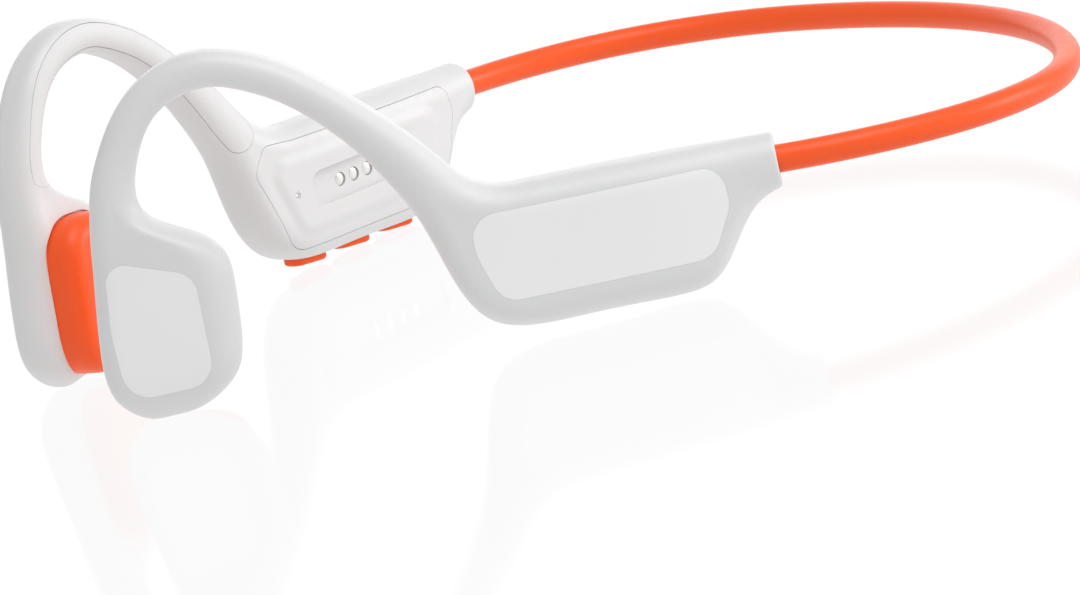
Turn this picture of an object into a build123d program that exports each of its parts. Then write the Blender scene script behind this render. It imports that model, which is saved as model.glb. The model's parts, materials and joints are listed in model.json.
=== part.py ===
from build123d import *
import os
from math import asin, cos, degrees, hypot, radians, sin

# Bone conduction headphones: two ear units joined by an elastic neckband.
# Frame: +X to the wearer's left, +Y to the rear, +Z up, millimetres. The object
# stands on its two front pods and the rear pods, and the origin is the middle
# of its footprint.
#
# Each ear unit is drawn once, in its own frame: x runs from the front pod to
# the neckband, y points in to the head, z points up. The left unit is placed
# and the right unit is its mirror image.

# ---- driving dimensions -------------------------------------------------
UNIT_FOOT_X = 19.3          # half distance between the units' mid-planes at y = 0
UNIT_HEADING = 23.7         # how far the units spread towards the rear, degrees
REST_PITCH = 1.5            # tilt that puts front pods and buttons on the table
FLOOR_DROP = 10.224         # from the unit frame's zero height down to the table
FOOTPRINT_MIDDLE_Y = 63.2   # from the unit frame's zero to the middle of the depth

WALL = 1.2                  # moulded shell wall
SEAM = 0.10                 # gap round pieces that lie flush in the shell
INLAY = 0.5                 # thickness of the inlay panels
LINER = 0.9                 # thickness of the soft strip inside the hook

POD_TOE = 12.0              # front pod turned in from the unit's plane, degrees
POD_MIDDLE = (0.45, 0.9)    # front pod's middle, x and y of the unit frame
POD_FACE = 3.8              # half thickness of the front pod
PAD_PROUD = 4.3             # how far the pad stands out of the pod's inner face
PAD_SOCKET = 0.5            # how deep the pad sits in the pod's inner face
PAD_EDGE_RADIUS = 2.0

EDGE_RADIUS = 3.4           # rounding of the unit's edges
EDGE_SHRINK = 0.6           # how much of it each millimetre of inset takes away
ROUNDEST = 0.46             # most rounding, as a share of the smaller side

REAR_TOE = -3.3             # rear pod turned back towards straight, degrees
REAR_MIDDLE = (55.0, -0.35)
REAR_FACE = 4.7             # half thickness of the rear pod

TUBE_RADIUS = 1.8           # neckband sleeve
TUBE_BORE = 1.15
BAND_WIRE_RADIUS = 0.4
BAND_CABLE_RADIUS = 0.5
BAND_HALF_WIDTH = 54.8
BAND_REAR_Y = 132.5
BAND_SIDE_RADIUS = 34.0
BAND_DROP = 2.3             # the neckband's plane falls to the rear, degrees
COLLAR_HEADING = 24.7
SLEEVE_INSERT = 1.8         # how far the sleeve goes into the collar's end wall
FLEX_ANGLE = 19.0           # where the band flexes, degrees from its rear middle
FLEX_GAP = 1.2              # clear gap that lets the side spans turn outwards

BUTTON_LENGTH = 6.1
BUTTON_WIDTH = 3.4
BUTTON_PITCH = 8.2
FIRST_BUTTON_X = 46.4
BUTTON_PROUD = 1.0
POD_BOTTOM_Z = -7.65        # underside of the rear pod
BUTTON_CLEARANCE = 0.12

CONTACT_PITCH = 2.54
CONTACT_RADIUS = 0.9
CONTACT_COUNT = 4
DOCK_MIDDLE = (0.4, 1.7)    # charging recess, from the rear pod's middle
DOCK_LENGTH = 19.0
DOCK_HEIGHT = 4.8
DOCK_DEPTH = 0.6
PLATEAU = 0.4               # raised middle of the rear cover
STATUS_HOLE = (-11.9, 1.9)  # from the rear pod's middle
STATUS_RADIUS = 0.3

# ---- the ear unit's ribs -------------------------------------------------
# A rib is one cross-section of the unit, from the front pod's bottom over the
# ear hook to the collar: a point on the unit's outer edge (x, z), the point
# across from it on the inner edge, the thickness, the height of its middle (y)
# and how far it is turned about the vertical.
RIBS = [
    ((-4.8, -10.2), (3.2, -9.55), 2.8, 0.9, -12.0),
    ((-6.4, -9.3), (5.3, -8.6), 4.8, 0.9, -12.0),
    ((-7.7, -8.3), (7.0, -7.5), 6.3, 0.9, -12.0),
    ((-8.6, -6.6), (8.3, -5.8), 7.3, 0.9, -12.0),
    ((-9.0, -3.4), (9.2, -3.0), 7.6, 0.9, -12.0),
    ((-8.8, 0.0), (9.7, 0.8), 7.6, 0.9, -12.0),
    ((-8.2, 5.0), (10.0, 5.6), 7.6, 0.9, -12.0),
    ((-7.7, 8.6), (9.9, 8.6), 7.5, 0.95, -12.0),
    ((-7.4, 10.8), (8.9, 10.7), 7.3, 1.0, -11.5),
    ((-7.15, 12.6), (7.1, 12.1), 7.0, 1.1, -11.0),
    ((-6.9, 14.2), (4.5, 13.3), 6.7, 1.2, -10.0),
    ((-6.5, 16.2), (1.8, 14.6), 6.4, 1.35, -9.0),
    ((-6.1, 18.2), (0.3, 16.2), 6.2, 1.45, -8.0),
    ((-5.3, 21.0), (-0.1, 18.8), 6.1, 1.5, -7.0),
    ((-3.6, 24.6), (0.9, 22.4), 6.0, 1.45, -6.0),
    ((-1.1, 28.7), (2.7, 25.9), 6.0, 1.35, -5.0),
    ((2.2, 32.1), (5.0, 28.4), 6.0, 1.2, -4.5),
    ((6.8, 34.5), (8.2, 29.9), 6.0, 1.05, -4.5),
    ((11.9, 35.0), (11.9, 30.35), 6.0, 0.85, -4.5),
    ((17.3, 33.6), (15.3, 29.4), 6.0, 0.5, -4.5),
    ((22.9, 30.6), (20.2, 26.8), 6.1, 0.1, -4.5),
    ((28.0, 26.5), (24.7, 23.0), 6.3, -0.3, -4.5),
    ((33.3, 21.5), (29.0, 17.9), 6.6, -0.7, -4.0),
    ((37.5, 16.8), (32.3, 12.5), 7.1, -1.0, -2.0),
    ((40.0, 13.7), (34.2, 8.7), 7.7, -1.15, 0.0),
    ((42.0, 12.0), (35.5, 4.8), 8.3, -1.2, 1.5),
    ((44.2, 11.0), (36.7, 0.6), 8.8, -1.15, 2.5),
    ((46.4, 10.65), (38.1, -3.0), 9.1, -1.05, 3.0),
    ((49.0, 10.6), (40.5, -6.0), 9.3, -0.85, 3.3),
    ((52.0, 10.55), (44.8, -7.45), 9.4, -0.6, 3.3),
    ((57.0, 10.5), (52.0, -7.65), 9.4, -0.3, 3.3),
    ((62.0, 10.35), (60.0, -7.75), 9.4, 0.05, 3.3),
    ((66.5, 10.25), (66.2, -7.8), 9.1, 0.35, 3.0),
    ((69.3, 10.15), (69.3, -7.0), 8.7, 0.5, 2.5),
    ((71.8, 10.1), (71.8, -4.4), 8.3, 0.65, 1.5),
    ((74.0, 10.0), (74.1, -0.9), 7.8, 0.72, 0.5),
    ((76.4, 9.95), (76.5, 1.6), 7.4, 0.75, -0.5),
    ((79.8, 9.85), (79.8, 2.85), 7.0, 0.75, -1.0),
]
HOOK_RIBS = range(9, 25)    # the ribs that the hook's wire and cable run through
LINER_RIBS = range(12, 25)
# From the hook's outer and inner edges to the soft strip, one for each of those ribs.
LINER_OUTER_MARGINS = [2.7, 2.2, 1.8, 1.4, 1.1, 0.9, 0.75, 0.75, 0.75, 0.75, 0.75, 0.9, 1.4]
LINER_INNER_MARGINS = [0.75, 0.75, 0.75, 0.75, 0.75, 0.75, 0.75, 0.75, 0.75, 0.75, 0.75, 0.9, 1.4]
LINER_FRONT_TIP = (-2.1, 16.45)     # (x, z) of the middle of each rounded end
LINER_REAR_TIP = (37.9, 10.5)
MOUTH_MIDDLE = (79.8, 0.75, 6.35)   # centre of the collar's end face

# ---- outlines in the unit's side view (x, z), each with its corner radius ----
COVER_OUTLINE = [
    ((37.1, 6.4), 2.2), ((39.6, 9.6), 1.5), ((45.0, 9.0), 5.0), ((73.7, 8.4), 1.8),
    ((74.3, 4.6), 3.0), ((70.0, -5.7), 3.0), ((41.3, -5.6), 3.0),
]
PLATEAU_OUTLINE = [
    ((39.2, 5.2), 2.2), ((41.2, 7.7), 2.2), ((72.0, 7.2), 3.0), ((69.2, -4.5), 3.5),
    ((42.4, -4.4), 3.2),
]
REAR_INLAY_OUTLINE = [
    ((40.4, 8.2), 3.2), ((72.6, 7.9), 3.0), ((72.9, 2.6), 4.5), ((69.6, -3.5), 3.5),
    ((42.6, -3.3), 3.2), ((40.5, 3.2), 8.0),
]
# These two are drawn in the front pod's own plane: forwards of its middle, up.
FRONT_INLAY_OUTLINE = [
    ((6.2, -7.0), 3.6), ((6.6, 2.0), 12.0), ((5.6, 11.4), 2.6), ((-5.7, 8.0), 3.0),
    ((-5.6, -6.2), 3.8),
]
PAD_OUTLINE = [
    ((8.0, -9.8), 5.0), ((-6.2, -8.2), 4.6), ((-6.9, 11.2), 5.0), ((6.4, 12.2), 5.4),
]


# ---- helpers --------------------------------------------------------------
def turned(direction, angle):
    return Vector(*direction).rotate(Axis.Z, angle)


def rib_plane(rib):
    """The rib's own plane: x to the unit's outer edge, y in to the head."""
    (x1, z1), (x2, z2), _, middle, turn = rib
    width = hypot(x1 - x2, z1 - z2)
    across = turned(((x1 - x2) / width, 0, (z1 - z2) / width), turn)
    inwards = turned((0, 1, 0), turn)
    return Plane(origin=((x1 + x2) / 2, middle, (z1 + z2) / 2), x_dir=across,
                 z_dir=across.cross(inwards))


def rib_section(rib, inset=0.0):
    """The rounded cross-section of one rib, made smaller by inset all round."""
    (x1, z1), (x2, z2), thickness, _, _ = rib
    w = hypot(x1 - x2, z1 - z2) - 2 * inset
    t = thickness - 2 * inset
    radius = min(EDGE_RADIUS - EDGE_SHRINK * inset, ROUNDEST * min(w, t))
    return rib_plane(rib) * RectangleRounded(w, t, radius)


def loft_ribs(ribs, inset=0.0):
    return loft([rib_section(rib, inset) for rib in ribs])


def rounded_outline(corners, grow=0.0):
    points = [corner for corner, _ in corners]
    radii = [radius for _, radius in corners]
    face = make_face(FilletPolyline(*points, radius=radii, close=True))
    return offset(face, grow) if grow else face


def side_prism(corners, y_from, y_to, grow=0.0):
    """A side-view outline of the unit, extruded from y_from to y_to."""
    plane = Plane(origin=(0, y_from, 0), x_dir=(1, 0, 0), z_dir=(0, -1, 0))
    return extrude(plane * rounded_outline(corners, grow), -(y_to - y_from))


POD = Plane(origin=(*POD_MIDDLE, 0), x_dir=turned((-1, 0, 0), -POD_TOE),
            z_dir=turned((0, 1, 0), -POD_TOE))
REAR = Plane(origin=(*REAR_MIDDLE, 0), x_dir=turned((1, 0, 0), -REAR_TOE), z_dir=(0, 0, 1))


def pod_prism(corners, depth_from, depth_to, grow=0.0):
    """An outline in the front pod's plane, extruded along its normal."""
    return extrude(POD.offset(depth_from) * rounded_outline(corners, grow),
                   depth_to - depth_from)


def rear_box(x_range, y_range, z_range):
    """A box in the rear pod's frame, whose x and y start at the pod's middle."""
    size = [high - low for low, high in (x_range, y_range, z_range)]
    middle = [(high + low) / 2 for low, high in (x_range, y_range, z_range)]
    return REAR * Pos(*middle) * Box(*size)


def rear_rod(x, y_from, y_to, z, radius):
    """A round rod along the rear pod's y, which points in to the head."""
    plane = REAR * Pos(x, y_from, z) * Rot(-90, 0, 0)
    return plane * Cylinder(radius, y_to - y_from, align=(Align.CENTER, Align.CENTER, Align.MIN))


def hook_rod(radius, sideways):
    """A round rod that follows the middle of the hook."""
    return loft([rib_plane(RIBS[i]) * Pos(0, sideways) * Circle(radius) for i in HOOK_RIBS])


# ---- skin layers of one unit ----------------------------------------------
INNER_Y = 1.4               # a level between the cavity's middle and its inner wall
SKIN = loft_ribs(RIBS)
CAVITY = loft_ribs(RIBS[1:-1], WALL)
HOLLOW = SKIN - CAVITY
INLAY_LAYER = SKIN - loft_ribs(RIBS[1:-1], INLAY)
LINER_LAYER = SKIN - loft_ribs(RIBS[1:-1], LINER)
PLATEAU_LAYER = loft_ribs(RIBS[24:], -PLATEAU) - CAVITY


def liner_prism(grow=0.0):
    """The soft strip's outline, inside the hook's edges, extruded to the inside."""
    outer = []
    inner = []
    for index, outside, inside in zip(LINER_RIBS, LINER_OUTER_MARGINS, LINER_INNER_MARGINS):
        (x1, z1), (x2, z2), _, _, _ = RIBS[index]
        width = hypot(x1 - x2, z1 - z2)
        along_x, along_z = (x1 - x2) / width, (z1 - z2) / width
        outer.append((x1 - along_x * (outside - grow), z1 - along_z * (outside - grow)))
        inner.append((x2 + along_x * (inside - grow), z2 + along_z * (inside - grow)))
    front_x, front_z = LINER_FRONT_TIP
    rear_x, rear_z = LINER_REAR_TIP
    start = ThreePointArc(outer[0], (front_x, front_z - grow), inner[0])
    end = ThreePointArc(outer[-1], (rear_x + grow * sin(radians(45)),
                                    rear_z - grow * cos(radians(45))), inner[-1])
    face = make_face([Spline(*outer), end, Spline(*inner), start])
    plane = Plane(origin=(0, INNER_Y, 0), x_dir=(1, 0, 0), z_dir=(0, -1, 0))
    return extrude(plane * face, -8)


# ---- the neckband ---------------------------------------------------------
UNIT = Plane(origin=(UNIT_FOOT_X, 0, 0),
             x_dir=(sin(radians(UNIT_HEADING)), cos(radians(UNIT_HEADING)), 0), z_dir=(0, 0, 1))
MOUTH = UNIT.from_local_coords(Vector(*MOUTH_MIDDLE))
HEADING = radians(COLLAR_HEADING)
FRONT_RADIUS = (BAND_HALF_WIDTH - MOUTH.X) / (1 - cos(HEADING))
WIDEST_Y = MOUTH.Y + FRONT_RADIUS * sin(HEADING)
SIDE_X = BAND_HALF_WIDTH - BAND_SIDE_RADIUS
REACH = BAND_REAR_Y - WIDEST_Y
REAR_RADIUS = ((SIDE_X ** 2 + REACH ** 2 - BAND_SIDE_RADIUS ** 2)
               / (2 * (REACH - BAND_SIDE_RADIUS)))
REAR_CENTRE_Y = BAND_REAR_Y - REAR_RADIUS
JOIN_ANGLE = degrees(asin((WIDEST_Y - REAR_CENTRE_Y) / (REAR_RADIUS - BAND_SIDE_RADIUS)))
GAP_ANGLE = degrees(FLEX_GAP / 2 / REAR_RADIUS)
BAND = Plane(origin=(0, MOUTH.Y, MOUTH.Z), x_dir=(1, 0, 0),
             z_dir=(0, sin(radians(BAND_DROP)), cos(radians(BAND_DROP))))


def band_point(x, y):
    """A point of the neckband's plane, given where it lies in the plan."""
    return BAND.from_local_coords(Vector(x, y - MOUTH.Y))


def rear_arc(angle_from, angle_to):
    """Part of the rear arc; angles are counted from the rear middle, left is +."""
    return BAND * CenterArc((0, REAR_CENTRE_Y - MOUTH.Y), REAR_RADIUS, 90 - angle_from,
                            angle_from - angle_to)


def side_path(angle_from, run_in):
    """The left side of the band, from the rear arc to run_in inside the collar."""
    side = CenterArc((SIDE_X, WIDEST_Y - MOUTH.Y), BAND_SIDE_RADIUS, JOIN_ANGLE, -JOIN_ANGLE)
    front = CenterArc((BAND_HALF_WIDTH - FRONT_RADIUS, WIDEST_Y - MOUTH.Y), FRONT_RADIUS, 0,
                      -COLLAR_HEADING)
    straight = Line((MOUTH.X, 0), (MOUTH.X - run_in * sin(HEADING), -run_in * cos(HEADING)))
    return [rear_arc(angle_from, 90 - JOIN_ANGLE), BAND * side, BAND * front, BAND * straight]


def sweep_round(path, radius, bore=0.0, lift=0.0):
    """A round bar or tube along a path that starts square to its first point."""
    wire = Wire(path)
    start = Plane(origin=wire @ 0, x_dir=BAND.z_dir, z_dir=wire % 0)
    section = Circle(radius) - Circle(bore) if bore else Circle(radius)
    return sweep(start * Pos(lift, 0) * section, path=wire)


# ---- the pieces of one ear unit -------------------------------------------
DRIVER_Z = 1.2              # height of the bone transducer's axis
BUTTON_MIDDLE = 0.0         # the buttons' place across the rear pod
DOCK_FLOOR = REAR_FACE + PLATEAU - DOCK_DEPTH
BUTTON_SPOTS = [FIRST_BUTTON_X + i * BUTTON_PITCH - REAR_MIDDLE[0] for i in range(3)]
CONTACT_SPOTS = [DOCK_MIDDLE[0] + CONTACT_PITCH * (i - (CONTACT_COUNT - 1) / 2)
                 for i in range(CONTACT_COUNT)]
MAGNET_REACH = 7.2          # from the dock's middle to each magnet
MAGNET_RADIUS = 1.5
MAGNET_SPOTS = [DOCK_MIDDLE[0] - MAGNET_REACH, DOCK_MIDDLE[0] + MAGNET_REACH]
DRIVER_RADIUS = 7.3         # largest part of the transducer
DRIVER_BORE = 6.9
COIL_DEPTH = 0.75           # where the coil meets its plate, in to the head
PLATE_DEPTH = 1.5
PLUG_DEPTH = 2.6            # where the pad's plug meets the plate
BUTTON_BASE_Z = -5.9        # top of the key, under its retaining flange
BUTTON_FLANGE_Z = -5.5


def largest(shape):
    return shape.solids().sort_by(SortBy.VOLUME)[-1]


def driver_disc(radius, depth_from, depth_to, bore=0.0):
    """A disc on the transducer's axis; depth runs in to the head."""
    plane = POD * Pos(0, DRIVER_Z, depth_from)
    disc = extrude(plane * Circle(radius), depth_to - depth_from)
    if bore:
        disc -= extrude(plane * Circle(bore), depth_to - depth_from)
    return disc


def button_block(x, width, length, z_from, z_to):
    """A box for one button, in the rear pod's frame."""
    half = width / 2
    return rear_box((x - length / 2, x + length / 2),
                    (BUTTON_MIDDLE - half, BUTTON_MIDDLE + half), (z_from, z_to))


def dock_rod(x, radius, y_from, y_to):
    """A rod square to the dock's floor; y is counted from the floor."""
    return rear_rod(x, DOCK_FLOOR + y_from, DOCK_FLOOR + y_to, DOCK_MIDDLE[1], radius)


def band_run():
    """The direction in which the band leaves the left collar."""
    ahead = band_point(MOUTH.X + sin(HEADING), MOUTH.Y + cos(HEADING))
    return ahead - band_point(MOUTH.X, MOUTH.Y)


def collar_rod(radius, run_from, run_to):
    """A rod on the band's line through the collar; runs are counted into the collar."""
    mouth = band_point(MOUTH.X, MOUTH.Y)
    plane = Plane(origin=mouth - band_run() * run_from, z_dir=band_run() * -1)
    return UNIT.location.inverse() * extrude(plane * Circle(radius), run_to - run_from)


def left_shell():
    """The main moulding: front pod, ear hook, rear pod and collar in one."""
    body = HOLLOW - pod_prism(FRONT_INLAY_OUTLINE, -8, -POD_FACE + INLAY, SEAM)
    body -= side_prism(REAR_INLAY_OUTLINE, -9, -3, SEAM) & INLAY_LAYER
    body -= pod_prism(PAD_OUTLINE, POD_FACE - PAD_SOCKET, 9, SEAM)
    body -= pod_prism(PAD_OUTLINE, 1.5, 9, -1.5)
    body -= liner_prism(SEAM) & LINER_LAYER
    body -= side_prism(COVER_OUTLINE, INNER_Y, 9, SEAM)
    body -= collar_rod(TUBE_RADIUS + SEAM, -1.0, 6.0)
    return largest(body)


def right_shell():
    """The same moulding, with three slots for the buttons."""
    body = left_shell()
    for x in BUTTON_SPOTS:
        body -= button_block(x, BUTTON_WIDTH + 2 * BUTTON_CLEARANCE,
                             BUTTON_LENGTH + 2 * BUTTON_CLEARANCE, -11, BUTTON_FLANGE_Z)
    return largest(body)


def left_rear_cover():
    """The cover on the inside of the rear pod, with its raised middle."""
    cover = largest(side_prism(COVER_OUTLINE, INNER_Y, 9) & HOLLOW)
    return cover + largest(side_prism(PLATEAU_OUTLINE, INNER_Y, 9) & PLATEAU_LAYER)


def right_rear_cover():
    """The same cover, with the charging recess, contact holes and status hole."""
    x, z = DOCK_MIDDLE
    recess = REAR * Pos(x, DOCK_FLOOR, z) * Rot(-90, 0, 0) * RectangleRounded(
        DOCK_LENGTH, DOCK_HEIGHT, 2.0)
    cover = left_rear_cover() - extrude(recess, 4)
    for spot in CONTACT_SPOTS:
        cover -= dock_rod(spot, CONTACT_RADIUS + 0.05, -4, 2)
    cover -= rear_rod(STATUS_HOLE[0], 0, 9, STATUS_HOLE[1], STATUS_RADIUS + 0.05)
    return largest(cover)


def hook_liner():
    return liner_prism() & LINER_LAYER


def front_inlay():
    return pod_prism(FRONT_INLAY_OUTLINE, -POD_FACE, -POD_FACE + INLAY) & SKIN


def rear_inlay():
    return side_prism(REAR_INLAY_OUTLINE, -9, -3) & INLAY_LAYER


def transducer_pad():
    """The soft pad that presses on the cheekbone, with its plug into the pod."""
    pad = pod_prism(PAD_OUTLINE, POD_FACE - PAD_SOCKET, POD_FACE + PAD_PROUD)
    rim = pad.faces().sort_by(Axis(origin=(0, 0, 0), direction=POD.z_dir))[-1].edges()
    pad = fillet(rim, PAD_EDGE_RADIUS)
    plug = pod_prism(PAD_OUTLINE, PLUG_DEPTH, POD_FACE - PAD_SOCKET, -1.65)
    return pad + plug


def transducer_plate():
    """The plate that carries the coil and drives the pad."""
    return (driver_disc(7.0, COIL_DEPTH, PLATE_DEPTH)
            + driver_disc(4.6, PLATE_DEPTH, PLUG_DEPTH))


def voice_coil():
    return driver_disc(5.5, -0.7, COIL_DEPTH, 4.75)


def flexure():
    """The spring plate: two rings joined by three arms."""
    plate = driver_disc(DRIVER_RADIUS, 0.5, 0.7, DRIVER_BORE) + driver_disc(6.4, 0.5, 0.7, 5.9)
    for angle in (90, 210, 330):
        arm = POD * Pos(0, DRIVER_Z, 0.6) * Rot(0, 0, angle) * Pos(6.65, 0)
        plate += arm * Box(1.0, 1.2, 0.2)
    return plate


def driver_ring():
    return driver_disc(DRIVER_RADIUS, -1.8, 0.5, DRIVER_BORE)


def yoke():
    return driver_disc(6.45, -2.1, -1.3) + driver_disc(6.45, -1.3, 0.25, 5.85)


def magnet():
    return driver_disc(4.3, -1.3, 0.0)


def pole_piece():
    return driver_disc(4.4, 0.0, 0.45)


def ferrule():
    """The crimp that ties the neckband's wire into the collar."""
    run_to = SLEEVE_INSERT + 3.2
    return (collar_rod(1.9, SLEEVE_INSERT, run_to)
            - collar_rod(TUBE_BORE + 0.1, SLEEVE_INSERT, run_to))


def neckband_side():
    tube = sweep_round(side_path(FLEX_ANGLE + GAP_ANGLE, SLEEVE_INSERT), TUBE_RADIUS, TUBE_BORE)
    return UNIT.location.inverse() * tube


# ---- pieces of one side only ----------------------------------------------
def battery():
    cell = rear_box((-12.5, 11.5), (-2.6, 2.4), (-4.8, 7.4))
    return fillet(cell.edges().filter_by(Axis(origin=(0, 0, 0), direction=REAR.x_dir)), 1.0)


def protection_board():
    return rear_box((-9.0, 6.0), (-1.6, 1.6), (7.9, 8.7))


def main_board():
    return rear_box((-13.0, 13.0), (-2.4, -1.6), (-3.6, 8.2))


def radio_chip():
    return rear_box((-3.5, 3.5), (-1.6, -0.8), (0.5, 6.5))


def contact_block():
    """The carrier behind the dock: it holds the contacts and both magnets."""
    x, z = DOCK_MIDDLE
    block = rear_box((x - 9.2, x + 9.2), (DOCK_FLOOR - 2.6, DOCK_FLOOR - 1.1),
                     (z - 2.0, z + 2.0))
    for spot in CONTACT_SPOTS:
        block -= dock_rod(spot, CONTACT_RADIUS + 0.02, -4, 0)
    for spot in MAGNET_SPOTS:
        block -= dock_rod(spot, MAGNET_RADIUS + 0.02, -4, 0)
    return block


def charging_contacts():
    return Compound([largest(dock_rod(x, CONTACT_RADIUS, -3.0, -0.15)) for x in CONTACT_SPOTS])


def dock_magnets():
    return Compound([largest(dock_rod(x, MAGNET_RADIUS, -2.6, -1.2)) for x in MAGNET_SPOTS])


def status_lens():
    return rear_rod(STATUS_HOLE[0], 2.2, REAR_FACE - 0.1, STATUS_HOLE[1], STATUS_RADIUS)


def microphone():
    return rear_box((-14.2, -11.2), (-1.5, -0.3), (-2.0, 2.0))


def button(x):
    """One key cap: a slanted rounded key below, and the flange that retains it."""
    bottom = POD_BOTTOM_Z - BUTTON_PROUD
    key = button_block(x, BUTTON_WIDTH, BUTTON_LENGTH, bottom, BUTTON_BASE_Z)
    key = fillet(key.edges().filter_by(Axis.Z), 1.2)
    floor_edges = key.faces().sort_by(Axis.Z)[0].edges()
    key = chamfer(floor_edges, 0.4)
    flange = button_block(x, BUTTON_WIDTH + 0.5, 4.4, BUTTON_BASE_Z, BUTTON_FLANGE_Z)
    plunger = button_block(x, 1.6, 2.4, BUTTON_FLANGE_Z, -5.2)
    return key + flange + plunger


def switch_board():
    return rear_box((-13.5, 10.5), (-1.8, 2.3), (-4.4, -4.0))


def dome_switches():
    domes = []
    for x in BUTTON_SPOTS:
        dome = Cylinder(1.5, 0.45, align=(Align.CENTER, Align.CENTER, Align.MAX))
        domes.append(largest(REAR * Pos(x, BUTTON_MIDDLE, -4.4) * dome))
    return Compound(domes)


# ---- assembly --------------------------------------------------------------
REST = Pos(0, -FOOTPRINT_MIDDLE_Y, FLOOR_DROP) * Rot(-REST_PITCH, 0, 0)


def save(name, solid):
    export_step(solid, f"parts/{name}.step")


def save_on(side, name, solid):
    """Place a piece of the ear unit on the left or, mirrored, on the right."""
    placed = UNIT.location * solid
    if side == "right":
        placed = mirror(placed, about=Plane.YZ)
    save(name, REST * placed)


COMMON_PIECES = {
    "hook_liner": hook_liner(),
    "front_inlay": front_inlay(),
    "rear_inlay": rear_inlay(),
    "transducer_pad": transducer_pad(),
    "transducer_plate": transducer_plate(),
    "voice_coil": voice_coil(),
    "flexure": flexure(),
    "driver_ring": driver_ring(),
    "yoke": yoke(),
    "magnet": magnet(),
    "pole_piece": pole_piece(),
    "hook_wire": hook_rod(0.5, -0.75),
    "hook_cable": hook_rod(0.45, 0.75),
    "ferrule": ferrule(),
    "neckband_side": neckband_side(),
}
LEFT_PIECES = {
    "left_shell": left_shell(),
    "left_rear_cover": left_rear_cover(),
    "battery": battery(),
    "protection_board": protection_board(),
}
RIGHT_PIECES = {
    "right_shell": right_shell(),
    "right_rear_cover": right_rear_cover(),
    "main_board": main_board(),
    "radio_chip": radio_chip(),
    "contact_block": contact_block(),
    "charging_contacts": charging_contacts(),
    "dock_magnets": dock_magnets(),
    "status_lens": status_lens(),
    "microphone": microphone(),
    "switch_board": switch_board(),
    "dome_switches": dome_switches(),
    "volume_down_button": button(BUTTON_SPOTS[0]),
    "power_button": button(BUTTON_SPOTS[1]),
    "volume_up_button": button(BUTTON_SPOTS[2]),
}


def neckband_rear():
    reach = FLEX_ANGLE - GAP_ANGLE
    return sweep_round([rear_arc(reach, -reach)], TUBE_RADIUS, TUBE_BORE)


def whole_band_rod(radius, lift):
    """A rod that runs inside the sleeve from collar to collar."""
    half = sweep_round(side_path(0, SLEEVE_INSERT + 3.0), radius, lift=lift)
    return half + mirror(half, about=Plane.YZ)


os.makedirs("parts", exist_ok=True)
for side in ("left", "right"):
    for name, solid in COMMON_PIECES.items():
        save_on(side, f"{side}_{name}", solid)
for name, solid in LEFT_PIECES.items():
    save_on("left", name, solid)
for name, solid in RIGHT_PIECES.items():
    save_on("right", name, solid)
save("neckband_rear", REST * neckband_rear())
save("neckband_wire", REST * whole_band_rod(BAND_WIRE_RADIUS, -0.65))
save("neckband_cable", REST * whole_band_rod(BAND_CABLE_RADIUS, 0.45))
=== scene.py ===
"""Bone conduction headphones: the visible surfaces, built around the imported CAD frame.

Lengths in the tables are millimetres of the ear unit's own frame, as in the CAD source:
x from the front pod to the neckband, y in to the head, z up. place() carries a point from
there into the row frame, in metres, for the left unit or, mirrored, for the right one.
"""
import json
import math

import bpy
import numpy as np
from mathutils import Matrix, Vector
from mathutils.kdtree import KDTree

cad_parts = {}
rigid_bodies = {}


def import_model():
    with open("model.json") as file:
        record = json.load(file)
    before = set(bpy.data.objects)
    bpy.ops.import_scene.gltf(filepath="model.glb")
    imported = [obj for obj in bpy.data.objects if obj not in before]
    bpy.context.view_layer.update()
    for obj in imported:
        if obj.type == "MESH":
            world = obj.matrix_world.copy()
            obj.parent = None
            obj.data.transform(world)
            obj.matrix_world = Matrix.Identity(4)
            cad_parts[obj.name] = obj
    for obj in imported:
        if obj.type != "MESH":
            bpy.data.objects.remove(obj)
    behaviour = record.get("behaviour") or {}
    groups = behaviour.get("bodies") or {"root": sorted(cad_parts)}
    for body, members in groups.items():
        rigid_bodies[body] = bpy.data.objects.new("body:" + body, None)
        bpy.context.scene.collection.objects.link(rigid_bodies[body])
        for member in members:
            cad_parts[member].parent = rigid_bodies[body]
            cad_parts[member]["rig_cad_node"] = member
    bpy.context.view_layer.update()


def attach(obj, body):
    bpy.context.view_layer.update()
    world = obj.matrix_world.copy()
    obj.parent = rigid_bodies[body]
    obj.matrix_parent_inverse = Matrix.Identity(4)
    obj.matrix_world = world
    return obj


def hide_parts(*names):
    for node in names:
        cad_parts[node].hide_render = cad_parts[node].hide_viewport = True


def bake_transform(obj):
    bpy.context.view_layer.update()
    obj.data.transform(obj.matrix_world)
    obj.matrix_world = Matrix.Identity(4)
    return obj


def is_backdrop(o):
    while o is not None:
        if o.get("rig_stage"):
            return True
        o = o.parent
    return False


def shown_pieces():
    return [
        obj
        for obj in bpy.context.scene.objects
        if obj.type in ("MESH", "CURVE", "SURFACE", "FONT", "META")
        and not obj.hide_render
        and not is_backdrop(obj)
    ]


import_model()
MM = 0.001

# ---- dimensions shared with the CAD source (mm, degrees) --------------------
UNIT_FOOT_X = 19.3
UNIT_HEADING = math.radians(23.7)
REST_PITCH = math.radians(1.5)
FLOOR_DROP = 10.224
FOOTPRINT_MIDDLE_Y = 63.2

POD_TOE = math.radians(12.0)
POD_MIDDLE = (0.45, 0.9)
POD_FACE = 3.8
PAD_PROUD = 4.3
PAD_SOCKET = 0.5
PAD_ROOT = 1.1              # how far the pad's side runs on into the pod
REAR_TOE = math.radians(-3.3)
REAR_MIDDLE = (55.0, -0.35)
REAR_FACE = 4.7

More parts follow.
